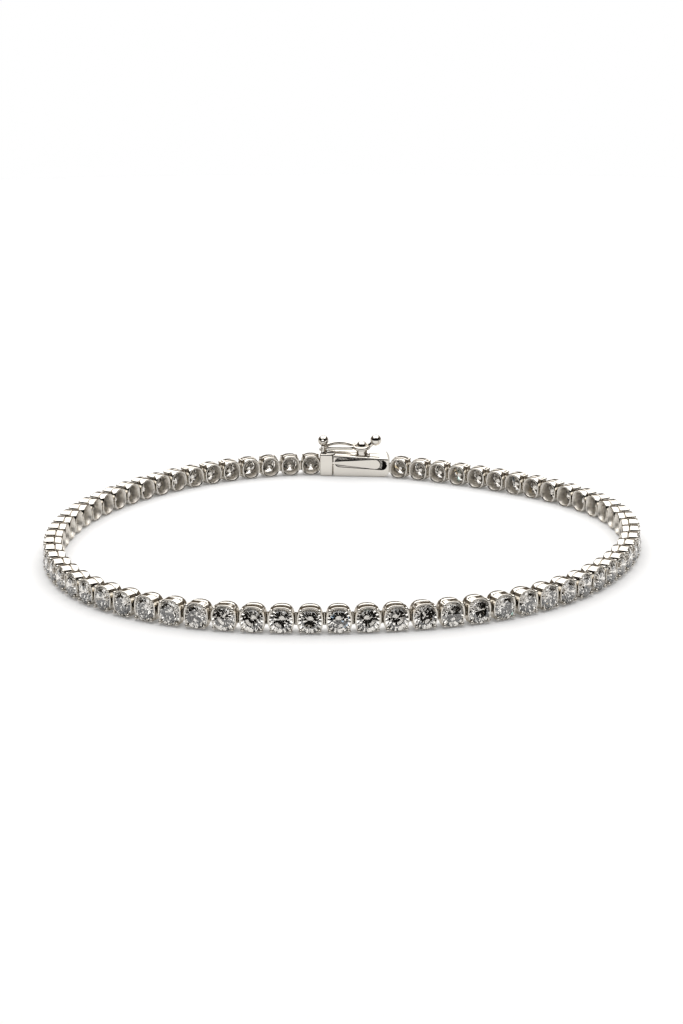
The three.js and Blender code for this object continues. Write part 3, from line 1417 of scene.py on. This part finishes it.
    def _add_leaf(self, bm: BMesh) -> None:
        """Adds the folded leaf in the box: a rising upper fold, and a lower one under it.

        Args:
            bm: The bmesh that grows.
        """
        half = self.slot_height / 2 - self.leaf_play
        left, tip = self.head_end - self.leaf_root, self.leaf_end - half
        upper = [
            (left, self.fold_height),
            (tip, -half),
            *arc((tip, 0.0), (half, half), -90, 180, 12)[1:-1],
            (tip, half),
            (self.leaf_full, half - 0.02),
            (left, self.fold_height + self.fold_rise),
        ]
        lower = [
            (left, -half), (tip - self.fold_short, -half), (left, self.fold_height - self.fold_gap),
        ]
        for outline, near in ((upper, self.leaf_near), (lower, self.leaf_near + self.fold_inset)):
            fold = new_object("leaf_tool", self._tilted(extruded_outline(
                outline, near, near + self.leaf_thickness
            )))
            polish(fold, 0.03, 2)
            take_in(bm, fold)

    def _add_post(self, bm: BMesh) -> None:
        """Adds the hinge's post, eye and pin, and the solder bead at the post's foot.

        Args:
            bm: The bmesh that grows.
        """
        x, height = self.place.hinge_x, self.place.hinge_height
        half, thickness = self.lug
        eye = Vector((x, self.far - thickness, height))
        lug = new_object("lug_tool", extruded_outline(
            rectangle(x - half, x + half, self.height - 0.3, height), eye.y, self.far
        ))
        polish(lug, 0.06, 2)
        take_in(bm, lug)
        rod(bm, eye, Vector((x, self.far, height)), self.eye_radius, 24)
        pin = Vector((x, self.pin_near, height))
        rod(bm, pin, Vector((x, self.far - 0.05, height)), self.pin_radius, 20)
        ball(bm, pin + Vector((0, 0.02, 0)), self.pin_head, 20)
        across, radius = self.post
        foot = Vector((x, across, self.height - 0.2))
        rod(bm, foot, Vector((x, across, height - self.post_top)), radius, 20)
        bead = Vector((x + self.post_bead[0], self.post_bead[1], self.post_bead[2]))
        ball(bm, bead, self.bead_radius, 16)

    def _add_thumb_pad(self, bm: BMesh) -> None:
        """Adds the rounded pad on the head's top that a thumb presses.

        Args:
            bm: The bmesh that grows.
        """
        radius = self.pad_radius
        left = Vector((self.pad_start + radius, self.near + radius + 0.1, self.height + 0.08))
        right = left + Vector((self.pad_length - 2 * radius, 0, 0))
        rod(bm, left, right, radius, 24)
        for end in (left, right):
            ball(bm, end, radius, 24)

    def _painted_shade_sheet(self, finish: Material) -> Object:
        """A near-black sheet at the back of the box's cavity, which paints the shade in it.

        Args:
            finish: Its near-black finish, which paints the shade.

        Returns:
            The finished piece.
        """
        left, right = self.mouth + self.slot_margin[0], self.end - self.slot_margin[1] - 0.02
        bm = self._tilted(extruded_outline(
            round_slot(left, right, self.slot_height - 0.04),
            self.leaf_near + self.leaf_thickness + 0.12,
            self.cavity_back - 0.02,
        ))
        bmesh.ops.transform(bm, matrix=self.place.matrix(), verts=bm.verts)
        soften(bm, Shading.POLISHED)
        lining = new_object("clasp_cavity_painted_shade", bm)
        dress(lining, finish, "bracelet")
        return lining

    def _finished(self, name: str, bm: BMesh, metal: Material) -> Object:
        """Places a clasp piece in the bracelet and dresses it.

        Args:
            name: The piece's name.
            bm: The finished shape in the clasp's frame, in millimetres.
            metal: The finish.

        Returns:
            The finished piece.
        """
        bmesh.ops.transform(bm, matrix=self.place.matrix(), verts=bm.verts)
        soften(bm, Shading.POLISHED)
        piece = new_object(name, bm)
        weight_normals(piece)
        dress(piece, metal, "bracelet")
        return piece

    def build(self, metal: Material, inside: Material) -> None:
        """Makes the box, the near-black sheet that paints the shade in its cavity, and the tongue.

        Args:
            metal: The outside's finish.
            inside: The near-black finish that paints the shade in the cavity.
        """
        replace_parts(self._box(metal), "clasp_box")
        # The near-black sheet at the back of the cavity paints its shade.
        self._painted_shade_sheet(inside)
        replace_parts(self._tongue(metal), "clasp_tongue")


@dataclass(frozen=True)
class Lobe:
    """One closed oval of the latch's wire.

    Args:
        start: Its left end.
        end: Its right end.
        half_width: Half its width across the clasp.
        arch: How far its middle is arched up.
    """

    start: float
    end: float
    half_width: float
    arch: float


@dataclass
class SafetyLatch:
    """The figure of eight in wire, with its hinge knuckle and its grip ball.

    Args:
        place: The clasp's frame.
        wire_radius: The wire's radius.
        height: The height of the wire's middle line.
        knuckle_radius: The radius of the ball on the hinge.
        lean: How much higher the lobes are at the far side.
        long_lobe: The lobe by the hinge.
        stud_lobe: The lobe round the stud.
        grip: The grip ball's place along the clasp and its height.
        grip_radius: The grip ball's radius.
        stem_share: The radius of the stems to the two balls, as a share of the wire's.
        lobe_steps: The steps round a lobe.
    """

    place: ClaspPlace
    wire_radius: float = 0.22
    height: float = 3.30
    knuckle_radius: float = 0.6
    lean: float = 0.1
    long_lobe: Lobe = Lobe(-3.35, -0.05, 0.9, 0.12)
    stud_lobe: Lobe = Lobe(-0.05, 1.6, 0.86, 0.0)
    grip: Point = (2.4, 4.1)
    grip_radius: float = 0.625
    stem_share: float = 1.1
    lobe_steps: int = 56

    def _lobe_path(self, lobe: Lobe) -> list[Vector]:
        """The middle line of one oval, arched up in the middle of its length.

        Args:
            lobe: The oval.

        Returns:
            The points round it.
        """
        middle, reach = (lobe.start + lobe.end) / 2, (lobe.end - lobe.start) / 2
        path = []
        for step in range(self.lobe_steps):
            turn = 2 * math.pi * step / self.lobe_steps
            path.append(Vector((
                middle + reach * math.cos(turn),
                lobe.half_width * math.sin(turn),
                self.height + lobe.arch * math.sin(turn) ** 2 + self.lean * math.sin(turn),
            )))
        return path

    def build(self, metal: Material) -> None:
        """Makes the latch.

        Args:
            metal: The finish.
        """
        bm = bmesh.new()
        hinge = Vector((self.place.hinge_x, 0, self.place.hinge_height))
        ball(bm, hinge, self.knuckle_radius)
        for lobe in (self.long_lobe, self.stud_lobe):
            swept_wire(bm, self._lobe_path(lobe), self.wire_radius, closed=True)
        stem = self.wire_radius * self.stem_share
        start = Vector((self.long_lobe.start, 0, self.height))
        swept_wire(bm, [hinge + Vector((0.15, 0, -0.35)), start], stem, closed=False)
        foot = Vector((self.stud_lobe.end - 0.05, 0, self.height))
        grip = Vector((self.grip[0], 0, self.grip[1]))
        swept_wire(bm, [foot, grip], stem, closed=False)
        ball(bm, grip, self.grip_radius)
        bmesh.ops.recalc_face_normals(bm, faces=bm.faces)
        bmesh.ops.transform(bm, matrix=self.place.matrix(), verts=bm.verts)
        soften(bm, Shading.POLISHED)
        latch = new_object("safety_latch_piece", bm)
        dress(latch, metal, "latch")
        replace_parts(latch, "safety_latch")


# ---- Studio --------------------------------------------------------------------------------


@dataclass(frozen=True)
class Softbox:
    """One soft light, its lengths in millimetres.

    Args:
        name: Its name.
        place: Its place.
        aim: The point that it faces.
        size: Its width and its depth.
        power: Its strength, in watts.
    """

    name: str
    place: Triple
    aim: Triple
    size: Point
    power: float

    def build(self) -> None:
        """Adds the light, and turns it to its aim."""
        light = bpy.data.lights.new(self.name, "AREA")
        light.shape = "RECTANGLE"
        light.size = self.size[0] * MM
        light.size_y = self.size[1] * MM
        light.energy = self.power
        lamp = bpy.data.objects.new(self.name, light)
        place = Vector(self.place) * MM
        lamp.location = place
        toward = Vector(self.aim) * MM - place
        lamp.rotation_euler = toward.to_track_quat("-Z", "Y").to_euler()
        bpy.context.scene.collection.objects.link(lamp)


@dataclass
class Studio:
    """The paper dish that the bracelet lies in, the air round it, the lights and the camera.

    Args:
        floor_radius: How far the level floor reaches.
        rise_radius: The radius of the rim's rise.
        rim_height: How high the rim stands.
        air_front: What the dark room on the camera's side sends back.
        air_back: What the warmer wall behind the bracelet sends back.
        camera_distance: From the loop's middle to the camera.
        camera_elevation: The camera's height angle over the floor, in degrees.
        camera_aim: How far the camera is turned from the loop's middle: right and up, in degrees.
        camera_roll: Its roll, in degrees.
        focal_length: The lens's focal length.
        focal_in_heights: The focal length as a share of the picture's height.
        loop_middle: The loop's middle on the floor.
        lights: The soft lights.
    """

    floor_radius: float = 330.0
    rise_radius: float = 90.0
    rim_height: float = 6.0
    air_front: Triple = (0.012, 0.011, 0.010)
    air_back: Triple = (0.185, 0.155, 0.120)
    camera_distance: float = 177.8
    camera_elevation: float = 16.35
    camera_aim: Point = (0.097, 0.985)
    camera_roll: float = -0.14
    focal_length: float = 60.0
    focal_in_heights: float = 1788.0 / 1024.0
    loop_middle: Point = (-0.622, -0.677)
    lights: tuple[Softbox, ...] = (
        Softbox("overhead", (0, 420, 520), (0, 420, 0), (900, 1400), 8.9),
    )

    def _dish(self) -> Object:
        """The floor and its upward rim, spun from one section.

        Returns:
            The floor.
        """
        bm = bmesh.new()
        steps = 10
        section = [(0.0, 0.0), (self.floor_radius, 0.0)]
        for step in range(1, steps + 1):
            rise = self.rim_height * step / steps
            reach = math.sqrt(self.rise_radius ** 2 - (self.rise_radius - rise) ** 2)
            section.append((self.floor_radius + reach, rise))
        corners = [bm.verts.new((x, 0, z)) for x, z in section]
        edges = [bm.edges.new(pair) for pair in zip(corners, corners[1:])]
        bmesh.ops.spin(
            bm,
            geom=corners + edges,
            axis=(0, 0, 1),
            cent=(0, 0, 0),
            angle=2 * math.pi,
            steps=96,
            use_merge=True,
        )
        bmesh.ops.remove_doubles(bm, verts=bm.verts, dist=1e-3)
        bmesh.ops.recalc_face_normals(bm, faces=bm.faces)
        middle = min(bm.faces, key=lambda face: face.calc_center_median().length)
        if middle.normal.z < 0:
            bmesh.ops.reverse_faces(bm, faces=bm.faces)
        for face in bm.faces:
            face.smooth = True
        return new_object("paper_dish", bm)

    def _air(self) -> None:
        """The dark room that the bracelet mirrors, white only where the camera looks past it."""
        world = bpy.data.worlds.new("studio_air")
        world.use_nodes = True
        nodes, links = world.node_tree.nodes, world.node_tree.links
        air = nodes["Background"]
        toward = nodes.new("ShaderNodeTexCoord")
        parts = nodes.new("ShaderNodeSeparateXYZ")
        depth = nodes.new("ShaderNodeMapRange")
        depth.inputs["From Min"].default_value = -0.2
        depth.inputs["From Max"].default_value = 0.5
        shade = nodes.new("ShaderNodeMix")
        shade.data_type = "RGBA"
        shade.inputs["A"].default_value = (*self.air_front, 1.0)
        shade.inputs["B"].default_value = (*self.air_back, 1.0)
        links.new(toward.outputs["Generated"], parts.inputs["Vector"])
        links.new(parts.outputs["Y"], depth.inputs["Value"])
        links.new(depth.outputs["Result"], shade.inputs["Factor"])
        links.new(shade.outputs["Result"], air.inputs["Color"])
        paper = nodes.new("ShaderNodeBackground")
        paper.inputs["Color"].default_value = (1.0, 1.0, 1.0, 1.0)
        path = nodes.new("ShaderNodeLightPath")
        choice = nodes.new("ShaderNodeMixShader")
        links.new(path.outputs["Is Camera Ray"], choice.inputs[0])
        links.new(air.outputs["Background"], choice.inputs[1])
        links.new(paper.outputs["Background"], choice.inputs[2])
        links.new(choice.outputs["Shader"], nodes["World Output"].inputs["Surface"])
        bpy.context.scene.world = world

    def _camera(self) -> None:
        """Adds the camera, over the floor and in front of the bracelet."""
        lens = bpy.data.cameras.new("camera")
        lens.sensor_fit = "VERTICAL"
        lens.lens = self.focal_length
        lens.sensor_height = self.focal_length / self.focal_in_heights
        lens.sensor_width = lens.sensor_height
        lens.clip_start = 0.005
        lens.clip_end = 20.0
        camera = bpy.data.objects.new("camera", lens)
        elevation = math.radians(self.camera_elevation)
        middle = Vector((*self.loop_middle, 0.0))
        back = Vector((0, -math.cos(elevation), math.sin(elevation)))
        camera.location = (middle + back * self.camera_distance) * MM
        right, up = (math.radians(angle) for angle in self.camera_aim)
        look = (
            Matrix.Rotation(-right, 4, "Z")
            @ Matrix.Rotation(math.pi / 2 - elevation + up, 4, "X")
            @ Matrix.Rotation(math.radians(self.camera_roll), 4, "Z")
        )
        camera.rotation_euler = look.to_euler()
        bpy.context.scene.collection.objects.link(camera)
        bpy.context.scene.camera = camera

    def build(self, paper: Material) -> None:
        """Sets up the studio.

        Args:
            paper: The floor's finish.
        """
        dish = self._dish()
        dish.data.materials.append(paper)
        self._air()
        for light in self.lights:
            light.build()
        self._camera()
        bpy.context.scene.view_settings.view_transform = "Standard"
        LOG.info("studio: %d soft lights", len(self.lights))


def write_sizes() -> None:
    """Updates the view layer, so that every piece's place is current."""
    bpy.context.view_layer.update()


def main() -> None:
    """Builds the bracelet's looks, piece by piece, and then the studio."""
    logging.basicConfig(level=logging.INFO, format="%(name)s: %(message)s")
    diamond = Diamond()
    metal = WhiteGold().build()
    row = ChainRow(LoopRoute())
    satin = WhiteGold(name="satin_gold", colour=(0.78, 0.74, 0.68), roughness=(0.38, 0.6)).build()
    row.build(metal, satin, diamond.build(), diamond.tint_layer)
    place = ClaspPlace()
    # A near-black finish paints the shade in the clasp's cavity.
    ClaspBody(place).build(metal, CavityShadeFill().build())
    SafetyLatch(place).build(metal)
    Studio().build(StudioPaper().build())
    write_sizes()


if __name__ == "__main__":
    main()
